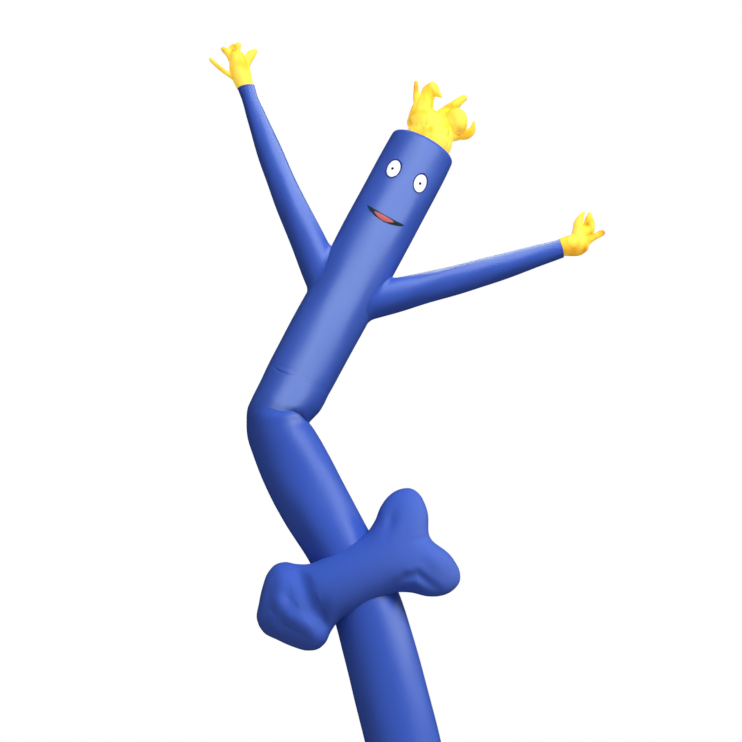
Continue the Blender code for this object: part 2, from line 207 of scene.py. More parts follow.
floor = added("floor", welded(grid_mesh("floor", disc(FLOOR_RADIUS)[::-1])), floor_material())
sky_white, sky_shader, _ = new_material("white_sky")
sky_shader.inputs["Base Color"].default_value = opaque((0, 0, 0))
sky_shader.inputs["Specular IOR Level"].default_value = 0.0
sky_shader.inputs["Emission Color"].default_value = opaque((1, 1, 1))
sky_shader.inputs["Emission Strength"].default_value = 1.0
sky = added("sky", welded(grid_mesh("sky", dome(SKY_RADIUS))), sky_white)
sky.visible_diffuse = False
sky.visible_glossy = False
sky.visible_transmission = False
sky.visible_shadow = False
floor.visible_diffuse = False
floor.visible_glossy = False


# Lower body. One tube of coated blue nylon, closed by a seam down its back, with a turned hem at the
# foot. It leans, bends over near its top with a crease, and ends at the cross seam. Its two meshes
# meet in the crease, because each part faces a light of its own.
TUBE_GIRTH_DIAMETER = 0.455
GIRTH = math.pi * TUBE_GIRTH_DIAMETER
CLOTH = 0.001
SEAM_GAP = 0.0003
LOWER_STEP = 0.0125
LOWER_SIDES = 128
FINE_FROM = 0.94  # share of the way to the fold where its finer rows begin
BLUE = (0.041, 0.108, 0.560)
# The deep blue is mixed in for painted shade in the creases, and for the stitches, seam lines and darker
# mottle.
BLUE_DEEP = (0.012, 0.028, 0.200)
NYLON_ROUGHNESS = 0.40
RIPSTOP = 0.006
HEM = 0.03
LOWER_TUBE = (  # x, z, lean towards -X in degrees, width
    (0.000, 0.000, 0.0, 0.455),
    (-0.003, 0.250, 2.0, 0.457),
    (-0.020, 0.500, 6.0, 0.459),
    (-0.056, 0.750, 10.0, 0.461),
    (-0.111, 1.000, 13.2, 0.461),
    (-0.199, 1.345, 14.4, 0.457),
    (-0.269, 1.604, 15.6, 0.450),
    (-0.325, 1.790, 19.0, 0.442),
    (-0.402, 1.990, 23.5, 0.436),
    (-0.509, 2.200, 27.5, 0.425),
    (-0.670, 2.480, 29.0, 0.452),
    (-0.750, 2.630, 27.3, 0.456),
    (-0.825, 2.775, 24.5, 0.443),
    (-0.871, 2.875, 19.5, 0.424),
    (-0.898, 2.940, 12.0, 0.412),
    (-0.907, 3.000, 1.0, 0.402),
    (-0.897, 3.052, -8.0, 0.418),
    (-0.874, 3.096, -14.0, 0.421),
    (-0.841, 3.154, -21.5, 0.425),
    (-0.777, 3.284, -27.5, 0.437),
)
FOLD_CREASE = (  # u, v, strength, along the cloth of the lower tube
    (0.400, 3.100, 0.2),
    (0.347, 3.131, 0.6),
    (0.230, 3.203, 1.0),
    (0.171, 3.227, 0.9),
    (0.119, 3.232, 0.7),
    (0.073, 3.227, 0.45),
    (0.019, 3.221, 0.25),
    (-0.110, 3.235, 0.10),
    (-0.185, 3.229, 0.05),
    (-0.284, 3.212, 0.0),
)
FOLD_DEPTH = 0.006
FOLD_WIDTH = 0.014
FOLD_SWELL = 0.002
FOLD_SWELL_BELOW = 0.045
FOLD_SWELL_WIDTH = 0.036
FOLD_GROOVE = 0.009
FOLD_GROOVE_WIDTH = 0.032
FOLD_GROOVE_MIDDLE = 0.05
FOLD_GROOVE_REACH = 0.26
SEAM_WRINKLES = (
    ((-0.203, 3.474, 0.3), (-0.130, 3.453, 1.0), (-0.062, 3.453, 1.0), (0.013, 3.471, 0.3)),
    ((0.051, 3.462, 0.3), (0.128, 3.471, 0.6), (0.193, 3.465, 0.2)),
)
WRINKLE_DEPTH = 0.003
WRINKLE_WIDTH = 0.009
SEAM_SHOW = 0.05
SEAM_LINE = 0.0010
BACK_SEAM = GIRTH / 2 - 0.004
LOWER_RIPPLE = 0.0016
SETTLED = 0.05  # the ripples are gone this near to a seam
HEM_GATHER = 0.0012
STITCH_LINE = 0.0015
STITCH_WIDTH = 0.004
STITCH_ROW = 0.006  # from the seam to its row of stitches


def eased(table, step, places=2, fewest=1):
    """Even steps along a table of rows, at least the fewest. The way is measured by the first
    columns, the places. Each column is a cubic through its values, whose slope at a row is that of
    the parabola through it and its neighbours."""
    rows = np.array(table, float)
    run = np.concatenate(([0.0], np.cumsum(np.linalg.norm(np.diff(rows[:, :places], axis=0), axis=1))))
    slope = np.gradient(rows, run, axis=0)
    at = np.linspace(0, run[-1], max(round(run[-1] / step), fewest) + 1)
    span = np.clip(np.searchsorted(run, at, side="right") - 1, 0, len(run) - 2)
    length = np.diff(run)[span][:, None]
    t = (at - run[span])[:, None] / length
    level = rows[span] * (1 + 2 * t) * (1 - t) ** 2 + rows[span + 1] * t * t * (3 - 2 * t)
    tilt = slope[span] * t * (1 - t) ** 2 - slope[span + 1] * t * t * (1 - t)
    return at, level + tilt * length


class Tube:
    """A tube of cloth through a table's rings, with a relief: how far its skin swells out or sinks in.

    A ring's point is its centre, plus half its width times the sine of its angle from the front to
    the right, plus its half depth times the cosine to the front. Where the girth is given, the
    depth follows from the width, because the cloth doesn't stretch."""

    def __init__(self, table, step, girth_diameter=None, relief=None):
        self.v, self.rows = eased(table, step)
        self.length = self.v[-1]
        self.girth_diameter = girth_diameter
        self.relief = relief

    def half_depth(self, width):
        if self.girth_diameter is None:
            return width / 2
        return np.sqrt(2 * (self.girth_diameter / 2) ** 2 - (width / 2) ** 2)

    def radius(self, v):
        if self.girth_diameter is not None:
            return self.girth_diameter / 2
        return np.interp(v, self.v, self.rows[:, 3]) / 2

    def point(self, u, v, lift=0.0):
        """The skin's points at cloth measures u and v, lifted off it."""
        x, z, lean, width = (np.interp(v, self.v, column) for column in self.rows.T)
        lean = np.radians(lean)
        angle = u / self.radius(v)
        if self.relief is not None:
            lift = lift + self.relief(u, v)
        side = (width / 2 + lift) * np.sin(angle)
        front = (self.half_depth(width) + lift) * np.cos(angle)
        return np.stack(np.broadcast_arrays(x + side * np.cos(lean), -front, z + side * np.sin(lean)), -1)

    def nearest(self, points):
        """The width of the ring nearest to each point, and how far to its right the point lies."""
        gap = points[..., None, ::2] - self.rows[:, :2]
        x, z, lean, width = np.moveaxis(self.rows[np.argmin((gap ** 2).sum(-1), -1)], -1, 0)
        lean = np.radians(lean)
        return width, (points[..., 0] - x) * np.cos(lean) + (points[..., 2] - z) * np.sin(lean)

    def share(self, points):
        """How far out from the axis points lie, as a share of the nearest ring: 1 is on the skin."""
        width, across = self.nearest(points)
        return np.hypot(across / (width / 2), points[..., 1] / self.half_depth(width))

    def grid(self, sides, v=None):
        """Rows of v and columns of u, one column more than the points because the last is the first."""
        v = (self.v if v is None else v)[:, None]
        turn = np.linspace(-math.pi, math.pi, sides + 1)
        return self.radius(v) * turn * np.ones_like(v), v * np.ones_like(turn)


def ripples(u, v, girth, seed, finest=9, climb=6.0, count=28):
    """Gentle unevenness: a sum of waves with whole turns round the girth, about 1 high."""
    rng = np.random.default_rng(seed)
    turns = rng.integers(0, finest, count)
    climbs = rng.normal(0, climb, count)
    phases = rng.uniform(0, 2 * math.pi, count)
    waves = (np.cos(2 * math.pi * turn * u / girth + rise * v + phase)
             for turn, rise, phase in zip(turns, climbs, phases))
    return sum(waves) / math.sqrt(count / 2)


def furrow(u, v, path, width):
    """A crease along a path of (u, v, strength): strength times a bell of the distance to the path,
    with a low shoulder on each side."""
    deep = np.zeros(np.broadcast(u, v).shape)
    for near, far in zip(np.array(path)[:-1], np.array(path)[1:]):
        run = far[:2] - near[:2]
        t = np.clip(((u - near[0]) * run[0] + (v - near[1]) * run[1]) / (run @ run), 0, 1)
        gap = np.hypot(u - near[0] - t * run[0], v - near[1] - t * run[1]) / width
        here = (near[2] + (far[2] - near[2]) * t) * (1 - 0.8 * gap ** 2) * np.exp(-gap ** 2)
        deep = np.where(np.abs(here) > np.abs(deep), here, deep)
    return deep


def puckers(u, gap, girth, seed, count=46, reach=0.035):
    """Gathers where cloth meets a seam: waves round the girth that fade with the gap to the seam."""
    rng = np.random.default_rng(seed)
    turns = rng.integers(count // 2, count, 5)
    phases = rng.uniform(0, 2 * math.pi, 5)
    waves = sum(np.cos(2 * math.pi * turn * u / girth + phase) for turn, phase in zip(turns, phases))
    return waves / 2 * np.exp(-np.abs(gap) / reach)


def waist(gap, width=0.012):
    """A seam's own line, drawn in: a bell of the gap to it."""
    return np.exp(-(gap / width) ** 2)


def bumped(height, strength):
    """The shader normal of a surface that rises by a height in metres."""
    values = {"Height": height, "Distance": 1.0, "Strength": strength}
    return height.node("Bump", None, values, output="Normal")


def nylon(name, dye, deep, roughness, seams=(), back_seam=None):
    """Coated ripstop: mottled dye, painted shade in the creases from the crease mark, a fine grid of
    thicker threads, and two rows of stitches beside each seam. Seams are given by v and show, the
    back seam by its u."""
    material, shader, thread = new_material(name)
    place = thread.node("TexCoord", output="Object")
    cloth = thread.node("UVMap", {"uv_map": "cloth"})
    u = thread.node("SeparateXYZ", None, {0: cloth})
    v = Thread(u.tree, u.socket.node.outputs["Y"])
    # The crease mark says where painted shade falls: there the dye is mixed towards the deep blue.
    painted_shading = thread.node("Attribute", {"attribute_name": "crease"}, output="Fac")
    blotch = thread.node("TexNoise", None, {"Vector": place, "Scale": 2.6, "Detail": 3.0})
    grain = thread.node("TexNoise", None, {"Vector": place, "Scale": 95.0, "Detail": 2.0})
    tone = (blotch - 0.5) * 0.16 + (grain - 0.5) * 0.22
    threads = thread.math("MINIMUM", *(thread.math("PINGPONG", way / RIPSTOP, 0.5) for way in (u, v)))
    rib = thread.math("LESS_THAN", threads, 0.06)
    # Painted shade in the creases, with the random tone and the ripstop ribs.
    darker = (painted_shading * 0.85 - tone + rib * 0.04).clamp()
    height = grain * 0.00006 + rib * 0.00012
    lines = [(v - seam, u, show) for seam, show in seams]
    if back_seam is not None:
        lines.append((u - back_seam, v, 1.0))
    for gap, run, show in lines:
        away = gap.math("ABSOLUTE", gap)
        row = thread.math("COMPARE", away, STITCH_ROW, 0.0006)
        dash = thread.math("LESS_THAN", run.math("PINGPONG", run, 0.0025), 0.0017)
        stitch = row * dash
        join = thread.math("LESS_THAN", away, 0.0011)
        darker = (darker + stitch * (0.35 * show) + join * (0.5 * show)).clamp()
        height = height - stitch * (0.0005 * show) - join * (0.0006 * show)
    tie(shader, "Base Color", darker.mixed(opaque(dye), opaque(deep)))
    tie(shader, "Normal", bumped(height, 0.6))
    tie(shader, "Roughness", grain * 0.10 + (roughness - 0.05))
    shader.inputs["Specular IOR Level"].default_value = 0.5
    return material


def thicken(piece, thickness=CLOTH, offset=-1.0):
    """Give a cloth its thickness, inwards or outwards. The edges with one face are marked sharp, so
    that its rim doesn't darken the skin beside it."""
    mesh = piece.data
    sides = np.zeros(len(mesh.loops), np.int32)
    mesh.loops.foreach_get("edge_index", sides)
    rim = np.bincount(sides, minlength=len(mesh.edges)) == 1
    mesh.attributes.new("sharp_edge", "BOOLEAN", "EDGE").data.foreach_set("value", rim)
    solid = piece.modifiers.new("cloth", "SOLIDIFY")
    solid.thickness = thickness
    solid.offset = offset


def sewn(piece, node):
    """The piece rides on the figure and stands for its solid."""
    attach(piece, "root")
    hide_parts(node)


def seam_wrinkles(u, v):
    return sum(furrow(u, v, path, WRINKLE_WIDTH) for path in SEAM_WRINKLES)


def fold_line(u):
    """Where the two meshes of the tube meet: in the crease, and level round the back."""
    crease_u, crease_v, _ = np.array(FOLD_CREASE)[::-1].T
    around = np.concatenate(([-GIRTH / 2], crease_u, [GIRTH / 2]))
    return np.interp(u, around, np.concatenate((crease_v[-1:], crease_v, crease_v[-1:])))


def lower_relief(u, v):
    """Ripples that settle at the seam, the crease in its soft groove, a swell below it, the wrinkles
    under the seam and the stitched hem."""
    top = LOWER_LENGTH - v
    groove = waist(v - fold_line(u), FOLD_GROOVE_WIDTH) * waist(u - FOLD_GROOVE_MIDDLE, FOLD_GROOVE_REACH)
    return (LOWER_RIPPLE * ripples(u, v, GIRTH, 3) * (1 - waist(top, SETTLED))
            - FOLD_GROOVE * groove - FOLD_DEPTH * furrow(u, v, FOLD_CREASE, FOLD_WIDTH)
            + FOLD_SWELL * furrow(u, v + FOLD_SWELL_BELOW, FOLD_CREASE, FOLD_SWELL_WIDTH)
            - WRINKLE_DEPTH * seam_wrinkles(u, v)
            - SEAM_LINE * waist(top)
            + HEM_GATHER * puckers(u, v, GIRTH, 6) - STITCH_LINE * waist(v - HEM, STITCH_WIDTH))


LOWER_LENGTH = eased(LOWER_TUBE, LOWER_STEP)[0][-1]
lower = Tube(LOWER_TUBE, LOWER_STEP, TUBE_GIRTH_DIAMETER, lower_relief)
blue_lower = nylon("blue_nylon_lower", BLUE, BLUE_DEEP, NYLON_ROUGHNESS,
                   ((HEM, 1.0), (lower.length, SEAM_SHOW)), BACK_SEAM)
turn = np.linspace(-GIRTH / 2, GIRTH / 2, LOWER_SIDES + 1)
fold_v = fold_line(turn)
coarse, fine = np.linspace(0, FINE_FROM, 185)[:-1], np.linspace(FINE_FROM, 1, 56)
below = np.concatenate((coarse, fine))[:, None] * fold_v
above = fold_v + (lower.length - fold_v) * np.linspace(0, 1, 61)[:, None]
for name, v in (("lower_tube", below), ("lower_tube_above_fold", above)):
    u = turn * np.ones_like(v)
    # Painted shade: the crease mark darkens the dye along the fold crease and, less, under the seam
    # wrinkles.
    painted_crease_shade = np.clip(furrow(u, v, FOLD_CREASE, 0.012) + 0.3 * seam_wrinkles(u, v), 0, 1)[:, :-1]
    mesh = grid_mesh(name, lower.point(u, v)[:, :-1], u, v, marks={"crease": painted_crease_shade})
    piece = added(name, mesh, blue_lower)
    thicken(piece)
    sewn(piece, "body_lower")
    float((v[-1] - v[0]).mean())


# Upper body. The same nylon tube goes on above the cross seam, straight up to the head's rim.
UPPER_TUBE = (  # x, z, lean towards -X in degrees, width
    (-0.777, 3.284, -27.5, 0.437),
    (-0.698, 3.438, -28.0, 0.439),
    (-0.470, 3.868, -28.3, 0.446),
    (-0.228, 4.340, -28.3, 0.450),
    (-0.034, 4.710, -28.0, 0.452),
    (0.024, 4.825, -27.0, 0.446),
)
UPPER_STEP = 0.0115
UPPER_SIDES = 128
UPPER_RIPPLE = 0.0013
RIM_LINE = 0.0008


def upper_relief(u, v):
    """Ripples that settle at the cross seam and at the rim, and the line of each."""
    top = UPPER_LENGTH - v
    return (UPPER_RIPPLE * ripples(u, v, GIRTH, 13) * (1 - waist(v, SETTLED)) * (1 - waist(top, SETTLED))
            - SEAM_LINE * waist(v) - RIM_LINE * waist(top))


UPPER_LENGTH = eased(UPPER_TUBE, UPPER_STEP)[0][-1]
upper = Tube(UPPER_TUBE, UPPER_STEP, TUBE_GIRTH_DIAMETER, upper_relief)
u, v = upper.grid(UPPER_SIDES, np.linspace(SEAM_GAP, upper.length, len(upper.v)))
blue_upper = nylon("blue_nylon_upper", BLUE, BLUE_DEEP, NYLON_ROUGHNESS,
                   ((0.0, SEAM_SHOW), (upper.length, SEAM_SHOW)), BACK_SEAM)
body_upper = added("upper_tube", grid_mesh("upper_tube", upper.point(u, v)[:, :-1], u, v), blue_upper)
thicken(body_upper)
sewn(body_upper, "body_upper")


# Head panel. A round of blue nylon sewn into the tube's end, pushed up into a low dome by the air.
HEAD_STEP = 0.008
HEAD_GATHER = 0.0010
HEAD_DOME = (  # radius as a share of the rim's, height above the rim
    (1.000, 0.000),
    (1.000, 0.005),
    (0.975, 0.020),
    (0.900, 0.031),
    (0.720, 0.041),
    (0.460, 0.048),
    (0.200, 0.051),
    (0.000, 0.051),
)


def tube_end(table):
    """The middle of a tube's last ring, and the way out of it."""
    x, z, lean, _ = table[-1]
    lean = math.radians(lean)
    return np.array((x, 0.0, z)), np.array((-math.sin(lean), 0.0, math.cos(lean)))


def head_points(u, v, share, height):
    """The rim's ring shrunk to a share and raised along the tube's axis, gathered near the rim."""
    rim = upper.point(u, np.full_like(u, upper.length))
    middle = rim[:, :-1].mean(axis=(0, 1))
    forward = tube_end(UPPER_TUBE)[1]
    rise = height + HEAD_GATHER * share * puckers(u, v, GIRTH, 21, reach=0.06) * np.clip(v / 0.02, 0, 1)
    return middle + (rim - middle) * share[..., None] + forward * rise[..., None]


v, profile = eased(np.array(HEAD_DOME) * (TUBE_GIRTH_DIAMETER / 2, 1.0), HEAD_STEP)
u = np.linspace(-math.pi, math.pi, UPPER_SIDES + 1) * TUBE_GIRTH_DIAMETER / 2
u, v = np.meshgrid(u, v)
share = np.clip(profile[:, :1] / (TUBE_GIRTH_DIAMETER / 2), 0, 1) * np.ones_like(u)
crown = head_points(u, v, share, profile[:, 1:] * np.ones_like(u))
head_cap = added("head_panel", welded(grid_mesh("head_panel", crown[:, :-1], u * share, v)),
                 nylon("blue_nylon_head", BLUE, BLUE_DEEP, NYLON_ROUGHNESS, ((0.0, SEAM_SHOW),)))
thicken(head_cap)
sewn(head_cap, "head_cap")


# Arms. Each is a tapered tube of the same nylon, sewn round a port in the upper body and gathered a
# little there and at the wrist.
ARM_STEP = 0.0125
ARM_SIDES = 64
ARM_ROWS = 130
LEFT_ARM = (  # x, z, lean towards -X in degrees, width
    (-0.520, 3.740, 24.0, 0.250),
    (-0.640, 4.012, 24.0, 0.250),
    (-0.724, 4.204, 24.0, 0.227),
    (-0.875, 4.541, 22.5, 0.190),
    (-1.004, 4.868, 21.0, 0.160),
    (-1.075, 5.062, 19.0, 0.128),
    (-1.121, 5.190, 17.0, 0.106),
    (-1.145, 5.262, 11.0, 0.114),
)
RIGHT_ARM = (
    (-0.400, 3.770, -74.0, 0.236),
    (-0.192, 3.828, -74.0, 0.228),
    (-0.036, 3.868, -74.0, 0.212),
    (0.177, 3.923, -74.5, 0.197),
    (0.502, 4.016, -74.0, 0.172),
    (0.802, 4.110, -74.0, 0.138),
    (0.937, 4.152, -75.0, 0.124),
)
ROOT_TUCK = 0.020
ROOT_FLARE = 0.022
ROOT_REACH = 0.060
ROOT_GATHER = 0.0007
WRIST_GATHER = 0.0016
WRIST_STITCH = 0.012  # from the wrist's edge
WRIST_SHOW = 0.6
ARM_RIPPLE = 0.006  # share of the arm's width


def root_flare(gap):
    """How far an arm's cloth swings out by a gap to its seam: a square that is 0 from the reach on."""
    return ROOT_FLARE * np.clip(1 - gap / ROOT_REACH, 0, 1) ** 2


def arm_root(arm):
    """How far along the arm each line of its cloth leaves the body: where its share of the body's
    ring last passes 1, a little less. The flare follows from the root, so it is found in three rounds."""
    u, v = arm.grid(ARM_SIDES)
    root = np.full(u.shape[1], -9.0)
    for _ in range(3):
        share = upper.share(arm.point(u, v, root_flare(v - root)))
        inside = np.where(share < 1)
        last = np.zeros(share.shape[1], int)
        np.maximum.at(last, inside[1], inside[0])
        here, after = (share[row, np.arange(share.shape[1])] for row in (last, last + 1))
        root = v[last, 0] + (1 - here) / (after - here) * (v[1, 0] - v[0, 0]) - ROOT_TUCK
    return root


def arm_piece(name, table, seed):
    """An arm from its root to its wrist, rippled and gathered, its rows closest at the root."""
    arm = Tube(table, ARM_STEP)
    root = arm_root(arm)
    t = np.linspace(0, 1, ARM_ROWS)[:, None] ** 1.15
    v = root + (arm.length - root) * t
    turn = np.linspace(-math.pi, math.pi, ARM_SIDES + 1)
    u = arm.radius(v) * turn
    round_it = turn * np.ones_like(v)
    lift = (2 * arm.radius(v) * ARM_RIPPLE * ripples(round_it, v, 2 * math.pi, seed, 6, 9.0)
            + root_flare(v - root)
            + ROOT_GATHER * puckers(round_it, v - root, 2 * math.pi, seed + 1, 30, 0.03)
            + WRIST_GATHER * puckers(round_it, arm.length - v, 2 * math.pi, seed + 2, 22, 0.03)
            - STITCH_LINE * waist(arm.length - v - WRIST_STITCH, STITCH_WIDTH))
    blue = nylon("blue_nylon_" + name, BLUE, BLUE_DEEP, NYLON_ROUGHNESS,
                 ((arm.length - WRIST_STITCH, WRIST_SHOW),))
    piece = added(name, grid_mesh(name, arm.point(u, v, lift)[:, :-1], u, v), blue)
    thicken(piece)
    girth = math.pi * arm.rows[:, 3].max()
    arm.length - root.min()
    float(math.pi * np.interp(v.mean(axis=1), arm.v, arm.rows[:, 3]).mean()
                        * (arm.length - root.mean()))
    return piece


sewn(arm_piece("left_arm", LEFT_ARM, 31), "arm_left")
sewn(arm_piece("right_arm", RIGHT_ARM, 41), "arm_right")


# Arrow. Two blue nylon shapes sewn edge to edge and filled by air from the tube behind: a blunt head
# with sloped sides on the left, a round shaft, and a tail of two fins with a notch between them.
ARROW_CENTRE = np.array((-0.409, -0.150, 2.012))
ARROW_RISE = math.radians(27.2)
ARROW_NOTCH = 0.070
ARROW_NOTCH_REACH = 0.110
ARROW_TAIL = (0.188, 0.598)
ARROW_STEP = 0.009
ARROW_SIDES = 144
ARROW_ROUGHNESS = 0.62
ARROW_ROWS = (  # distance along the arrow, half height, half depth
    (-0.668, 0.000, 0.000),
    (-0.660, 0.048, 0.040),
    (-0.606, 0.126, 0.096),
    (-0.539, 0.208, 0.132),
    (-0.470, 0.270, 0.152),
    (-0.405, 0.292, 0.160),
    (-0.351, 0.280, 0.164),
    (-0.288, 0.234, 0.172),
    (-0.226, 0.202, 0.182),
    (-0.100, 0.192, 0.190),
    (0.060, 0.192, 0.190),
    (0.188, 0.208, 0.186),
    (0.263, 0.248, 0.180),
    (0.345, 0.316, 0.170),
    (0.408, 0.347, 0.158),
    (0.470, 0.358, 0.142),
    (0.520, 0.350, 0.120),
    (0.564, 0.326, 0.086),
    (0.588, 0.288, 0.045),
    (0.598, 0.250, 0.000),
)
ARROW_DENTS = (  # along, up, half length, half height, turn in degrees, how far the front swells
    (-0.300, 0.150, 0.060, 0.090, 20.0, -0.020),
    (-0.290, -0.150, 0.050, 0.110, -20.0, -0.035),
    (0.345, 0.195, 0.075, 0.034, 44.0, -0.024),
    (0.485, -0.145, 0.050, 0.070, 0.0, 0.010),
    (-0.420, -0.180, 0.050, 0.100, 30.0, 0.012),
)
ARROW_FOLDS = (  # how far the front swells, width, and the path of (along, up, strength)
    (0.017, 0.060, ((-0.40, 0.26, 0.6), (-0.44, 0.15, 1), (-0.49, 0.07, 1), (-0.56, 0.02, 0.8),
                    (-0.64, -0.005, 0.3))),
    (0.017, 0.060, ((-0.49, 0.07, 0.8), (-0.47, -0.03, 1), (-0.42, -0.10, 1), (-0.37, -0.17, 0.8),
                    (-0.345, -0.22, 0.5))),
    (-0.022, 0.060, ((-0.29, 0.22, 0.6), (-0.313, 0.055, 1), (-0.327, -0.069, 1), (-0.32, -0.175, 0.8),
                     (-0.30, -0.23, 0.5))),
    (-0.016, 0.036, ((0.193, -0.167, 0.6), (0.270, -0.155, 1), (0.345, -0.171, 1), (0.387, -0.26, 0.9),
                     (0.421, -0.33, 0.5))),
    (-0.012, 0.020, ((0.570, 0.0, 1), (0.525, 0.0, 1), (0.442, 0.016, 0.7), (0.400, 0.02, 0.2))),
)
ARROW_TUCK = 0.006
ARROW_BLEND = 0.060


def arrow_swell(along, up):
    """The sum of soft round swells and dents on the arrow's front, and of its folds."""
    total = sum(push * furrow(along, up, path, width) for push, width, path in ARROW_FOLDS)
    for middle, height, long, tall, turn, push in ARROW_DENTS:
        angle = math.radians(turn)
        a = (along - middle) * math.cos(angle) + (up - height) * math.sin(angle)
        b = (up - height) * math.cos(angle) - (along - middle) * math.sin(angle)
        total = total + push * np.exp(-(a / long) ** 2 - (b / tall) ** 2)
    return total


def arrow_points():
    """Rings across the arrow's long axis: its half height times a cosine, its half depth times a
    sine, the tail's middle drawn in by the notch. What would lie in the tube stops under its skin,
    and a smooth minimum blends the two near their meeting."""
    _, rows = eased(ARROW_ROWS, ARROW_STEP)
    turn = np.linspace(0, 2 * math.pi, ARROW_SIDES, endpoint=False)
    along, height, depth = (column[:, None] for column in np.clip(rows, (-9, 0, 0), 9).T)
    up = height * np.cos(turn)
    tail = np.clip((along - ARROW_TAIL[0]) / (ARROW_TAIL[1] - ARROW_TAIL[0]), 0, 1)
    along = along - ARROW_NOTCH * tail * np.exp(-(up / ARROW_NOTCH_REACH) ** 2)
    front = np.clip(np.sin(turn), 0, 1) * np.ones_like(along)
    out = depth * np.sin(turn) + front * arrow_swell(along, up) * np.clip(depth / 0.08, 0, 1)
    points = np.stack((ARROW_CENTRE[0] + along * math.cos(ARROW_RISE) - up * math.sin(ARROW_RISE),
                       ARROW_CENTRE[1] - out,
                       ARROW_CENTRE[2] + along * math.sin(ARROW_RISE) + up * math.cos(ARROW_RISE)), -1)
    width, across = lower.nearest(points)
    bow = np.sqrt(np.clip(1 - (across / (width / 2)) ** 2, 0, 1))
    skin = -lower.half_depth(width) * bow + ARROW_TUCK
    within = np.abs(across) < width / 2
    near = np.clip(1 - np.abs(points[..., 1] - skin) / ARROW_BLEND, 0, 1) * front
    blended = np.minimum(points[..., 1], skin) - ARROW_BLEND / 4 * near ** 2
    points[..., 1] = np.where(within, blended, points[..., 1])
    return points


arrow = added("arrow_puff", welded(grid_mesh("arrow_puff", arrow_points())),
              nylon("blue_nylon_arrow", BLUE, BLUE_DEEP, ARROW_ROUGHNESS))
sewn(arrow, "arrow")


# Hair. A tuft of thin yellow nylon sewn to the head panel: a gathered crown that the air twists and
# bends into five fingers.
# The yellow dye, its pale lemon also painted light, its orange and brown painted shade.
YELLOW = (1.000, 0.520, 0.030)
YELLOW_PALE_AND_LIT = (1.000, 0.600, 0.080)
YELLOW_ORANGE_SHADE = (0.950, 0.360, 0.010)
YELLOW_DEEP_SHADE = (0.380, 0.100, 0.004)
# Painted glow: emission colours that stand in for daylight through the thin cloth, weaker in the folds.
YELLOW_GLOW_PAINTED = (0.520, 0.390, 0.040)
YELLOW_FOLD_GLOW_PAINTED = (0.300, 0.120, 0.000)
PUFF_STEP = 0.006
PUFF_SIDES = 32
PUFF_VOXEL = 0.0035
PUFF_SMOOTHING = 4
HAIR_HEIGHT = 0.025  # of its seam over the rim, under the dome's skin
HAIR_CRUMPLE = 0.004
HAIR = {  # x, y, z, radius at each joint of a stuffed chain
    "crown": ((0.069, 0, 4.882, 0.160), (0.084, 0, 4.958, 0.146), (0.050, 0, 5.010, 0.110)),
    "trunk": ((0.023, 0, 5.021, 0.092), (0.027, 0, 5.090, 0.073), (0.047, -0.005, 5.148, 0.062),
              (0.064, -0.010, 5.191, 0.049), (0.077, -0.015, 5.236, 0.043), (0.098, -0.020, 5.253, 0.039)),
    "beak": ((0.103, -0.020, 5.242, 0.040), (0.120, -0.028, 5.218, 0.032), (0.140, -0.033, 5.198, 0.018),
             (0.155, -0.035, 5.184, 0.009)),
    "left_spike": ((0.007, -0.015, 5.148, 0.031), (-0.008, -0.020, 5.209, 0.019),
                   (-0.010, -0.023, 5.250, 0.015), (-0.008, -0.025, 5.287, 0.013)),
    "right_finger": ((0.160, 0.015, 5.047, 0.063), (0.222, 0.025, 5.117, 0.043),
                     (0.277, 0.030, 5.170, 0.028), (0.313, 0.030, 5.196, 0.022)),
    "right_lump": ((0.215, -0.020, 5.000, 0.066), (0.261, -0.035, 5.038, 0.066),
                   (0.269, -0.040, 4.989, 0.060)),
    "low_spike": ((0.209, 0, 4.937, 0.060), (0.276, 0.005, 4.939, 0.041), (0.329, 0.005, 4.942, 0.034),
                  (0.357, 0, 4.958, 0.025), (0.369, -0.004, 4.988, 0.013), (0.375, -0.006, 5.019, 0.008)),
}


def finger(chain):
    """A closed tube round a chain of joints: rings square to the path, rounded over at both ends by
    half circles of the end joints' radii."""
    _, rows = eased(chain, PUFF_STEP, 3, 4)
    middle, radius = rows[:, :3], rows[:, 3]
    ahead = np.gradient(middle, axis=0)
    ahead /= np.linalg.norm(ahead, axis=1)[:, None]
    across = np.cross(ahead, (0.0, 1.0, 0.0))
    across /= np.linalg.norm(across, axis=1)[:, None]
    front = np.cross(across, ahead)
    bend = np.linspace(0, math.pi / 2, 8)[:, None]
    start = (middle[0] - ahead[0] * radius[0] * np.cos(bend), radius[0] * np.sin(bend[:, 0]))
    end = (middle[-1] + ahead[-1] * radius[-1] * np.sin(bend), radius[-1] * np.cos(bend[:, 0]))
    middle = np.concatenate((start[0][:-1], middle, end[0][1:]))
    radius = np.concatenate((start[1][:-1], radius, end[1][1:]))
    across, front = (np.pad(way, ((7, 7), (0, 0)), mode="edge") for way in (across, front))
    turn = np.linspace(0, 2 * math.pi, PUFF_SIDES, endpoint=False)[:, None]
    ring = across[:, None] * np.cos(turn) + front[:, None] * np.sin(turn)
    return middle[:, None] + ring * radius[:, None, None]


